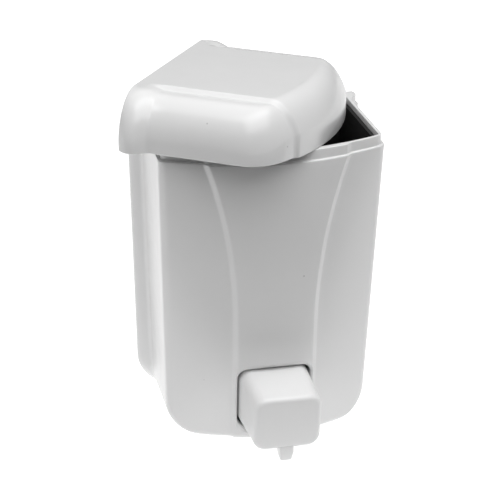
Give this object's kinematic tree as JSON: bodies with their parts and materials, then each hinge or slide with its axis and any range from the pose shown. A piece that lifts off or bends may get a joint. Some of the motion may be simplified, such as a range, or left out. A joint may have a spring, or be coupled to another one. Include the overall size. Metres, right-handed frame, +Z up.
{
  "type": "wall mounted soap dispenser",
  "caption": "Wall mounted liquid soap dispenser with a loose cover lying across its open top, an inner tank and a push button pump.",
  "frame": {"origin": "centre of the wall bracket's back face, on the wall", "axes": "+X to the right seen from the front, +Y into the wall, +Z up; the front of the dispenser faces -Y"},
  "size_m": [0.1255, 0.1272, 0.171],
  "materials": {
    "white_gloss": "glossy",
    "key_white": "satin",
    "natural": "satin",
    "dark": "matte",
    "seal_rubber": "matte",
    "steel": "polished"
  },
  "bodies": {
    "bracket": {"wall_bracket": "natural"},
    "housing": {"housing": "white_gloss", "reservoir": "dark", "tank_screw_1": "steel", "tank_screw_2": "steel", "tank_screw_3": "steel", "tank_screw_4": "steel", "pump_cylinder": "natural", "tank_gasket": "seal_rubber", "pump_nut": "natural", "cylinder_cap": "natural", "rod_wiper": "seal_rubber", "inlet_cage": "natural"},
    "lid": {"lid": "white_gloss"},
    "button": {"push_button": "key_white", "spout_tip": "key_white", "piston_rod": "natural", "piston_seal": "seal_rubber", "spring_seat": "natural", "return_spring": "steel", "outlet_spring": "steel"},
    "inlet_ball": {"inlet_ball": "steel"},
    "outlet_ball": {"outlet_ball": "steel"}
  },
  "joints": [
    {"name": "housing_unhook", "type": "slide", "parent": "bracket", "child": "housing", "axis": [0, 0, 1], "range_m": [0, 0.0075]},
    {"name": "lid_turn", "type": "hinge", "parent": "housing", "child": "lid", "pos_m": [-0.0016, -0.0466, 0.065], "axis": [0, 0, 1], "range_deg": [-55.9, 34.1]},
    {"name": "button_press", "type": "slide", "parent": "housing", "child": "button", "axis": [0, 1, 0], "range_m": [0, 0.011], "stiffness_N_per_m": 500, "springref_m": -0.008, "deforming": ["return_spring"]},
    {"name": "inlet_ball_lift", "type": "slide", "parent": "housing", "child": "inlet_ball", "axis": [0, -1, 0], "range_m": [0, 0.0015]},
    {"name": "outlet_ball_lift", "type": "slide", "parent": "button", "child": "outlet_ball", "axis": [0, -1, 0], "range_m": [0, 0.0012], "stiffness_N_per_m": 20, "springref_m": -0.001, "deforming": ["outlet_spring"]}
  ]
}
